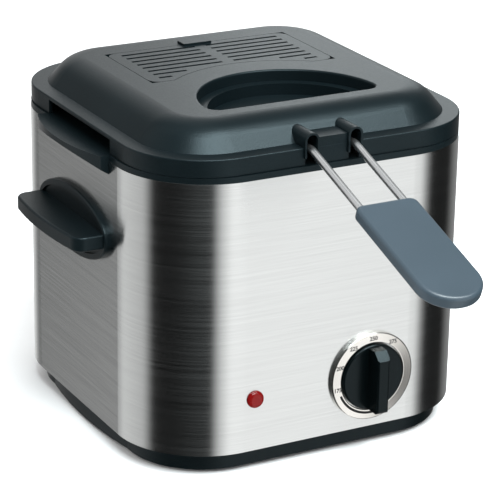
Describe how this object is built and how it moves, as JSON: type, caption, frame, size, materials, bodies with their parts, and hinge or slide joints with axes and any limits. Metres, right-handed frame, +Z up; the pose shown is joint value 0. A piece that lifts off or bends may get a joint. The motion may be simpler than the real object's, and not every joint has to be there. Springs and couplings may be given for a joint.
{
  "type": "deep fryer",
  "caption": "Compact deep fryer: rounded-square steel housing, domed vented lid, wire basket with a long front handle, dial thermostat with lamp.",
  "frame": {"origin": "on the floor under the middle of the overall box, grip and cord gland included", "axes": "+Z up, -Y towards the front with the dial and the basket's handle, +X to the right seen from the front"},
  "size_m": [0.2686, 0.3692, 0.2116],
  "materials": {
    "black_plastic": "moulded, fine matte grain",
    "knob_plastic": "moulded, smooth satin",
    "grip_plastic": "moulded, slate grey, satin",
    "rubber": "matte rubber",
    "gland_rubber": "matte rubber",
    "brushed_steel": "brushed round the housing",
    "screw_steel": "zinc plated",
    "coated_pot": "non-stick coating",
    "element_steel": "dull, heat-darkened",
    "shield_sheet": "plain rolled sheet",
    "baffle_sheet": "plain rolled sheet",
    "terminal_plastic": "plain moulded",
    "red_lens": "clear red, glossy",
    "chrome": "bright plated",
    "filter_felt": "felt mat",
    "basket_wire": "bright plated wire"
  },
  "bodies": {
    "housing": {"base_tray": "black_plastic", "rubber_feet": "rubber", "base_screws": "screw_steel", "outer_shell": "brushed_steel", "rim_collar": "black_plastic", "pot": "coated_pot", "heating_element": "element_steel", "element_pins": "screw_steel", "heat_shield": "shield_sheet", "shield_screws": "screw_steel", "thermal_cutout": "shield_sheet", "sensor_bulb": "element_steel", "thermostat_body": "shield_sheet", "thermostat_nut": "screw_steel", "terminal_block": "terminal_plastic", "lamp_lens": "red_lens", "lamp_body": "terminal_plastic", "dial_ring": "chrome", "left_handle": "black_plastic", "right_handle": "black_plastic", "handle_screws": "screw_steel", "cord_gland": "gland_rubber"},
    "dial": {"knob": "knob_plastic", "thermostat_shaft": "screw_steel"},
    "lid": {"lid_shell": "black_plastic", "filter_mat": "filter_felt", "steam_baffle": "baffle_sheet", "baffle_screws": "screw_steel"},
    "vent_cover": {"filter_cover": "black_plastic"},
    "basket": {"basket_mesh": "basket_wire", "basket_rim": "basket_wire", "basket_arm": "basket_wire", "arm_bracket": "basket_wire", "basket_grip": "grip_plastic"}
  },
  "joints": [
    {"name": "dial_turn", "type": "hinge", "parent": "housing", "child": "dial", "pos_m": [0.0295, -0.04437, 0.0473], "axis": [0, 1, 0], "range_deg": [0, 290]},
    {"name": "lid_lift", "type": "slide", "parent": "housing", "child": "lid", "axis": [0, 0, 1], "range_m": [0, 0.32]},
    {"name": "basket_lift", "type": "slide", "parent": "housing", "child": "basket", "axis": [0, 0, 1], "range_m": [0, 0.16]},
    {"name": "vent_cover_hinge", "type": "hinge", "parent": "lid", "child": "vent_cover", "pos_m": [0, 0.06313, 0.2102], "axis": [1, 0, 0], "range_deg": [0, 75]}
  ],
  "couplings": [
    {"joint": "basket_lift", "follows": "lid_lift", "ratio": 0.5}
  ]
}
